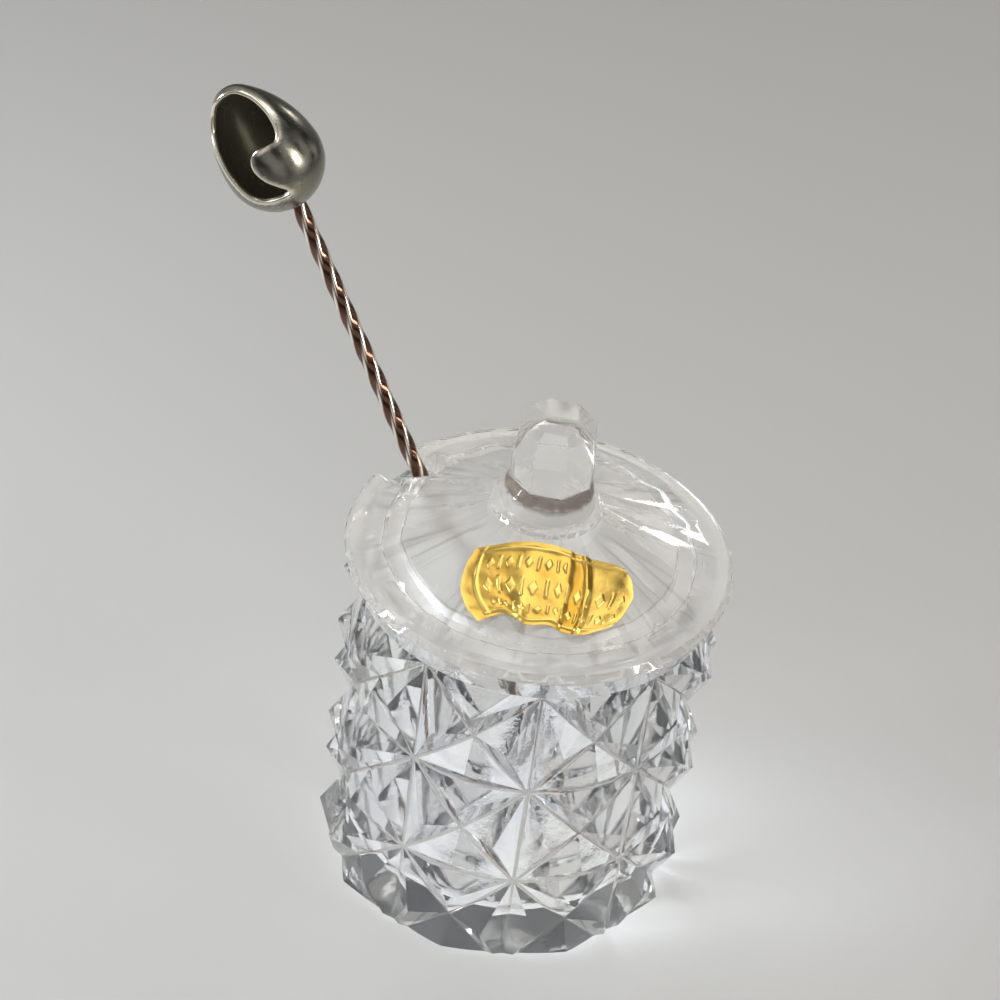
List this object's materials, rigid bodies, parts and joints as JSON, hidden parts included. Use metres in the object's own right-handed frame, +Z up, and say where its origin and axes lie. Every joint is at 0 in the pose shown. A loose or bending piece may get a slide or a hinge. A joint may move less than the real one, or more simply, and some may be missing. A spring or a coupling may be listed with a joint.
{
  "type": "honey pot",
  "caption": "Star-cut glass pot with a loose notched lid and knob, and a long spoon that stands in it with its bowl up.",
  "frame": {"origin": "centre of the jar's resting face", "axes": "+Z up along the jar's axis, -Y to the front where the label is, +X to the right seen from the front"},
  "size_m": [0.1055, 0.0773, 0.1441],
  "materials": {
    "jar_glass": "clear cut glass",
    "lid_glass": "clear cut glass",
    "gold_foil": "bright gold foil",
    "spoon_metal": "polished silver plate"
  },
  "bodies": {
    "pot": {"jar_body": "jar_glass"},
    "lid": {"lid": "lid_glass", "foil_label": "gold_foil"},
    "spoon": {"spoon_stem": "spoon_metal", "spoon_bowl": "spoon_metal"}
  },
  "joints": [
    {"name": "lid_lift", "type": "slide", "parent": "pot", "child": "lid", "axis": [0, 0, 1], "range_m": [0, 0.06]},
    {"name": "spoon_draw", "type": "slide", "parent": "pot", "child": "spoon", "axis": [-0.5123, 0.3263, 0.7944], "range_m": [0, 0.09]}
  ]
}
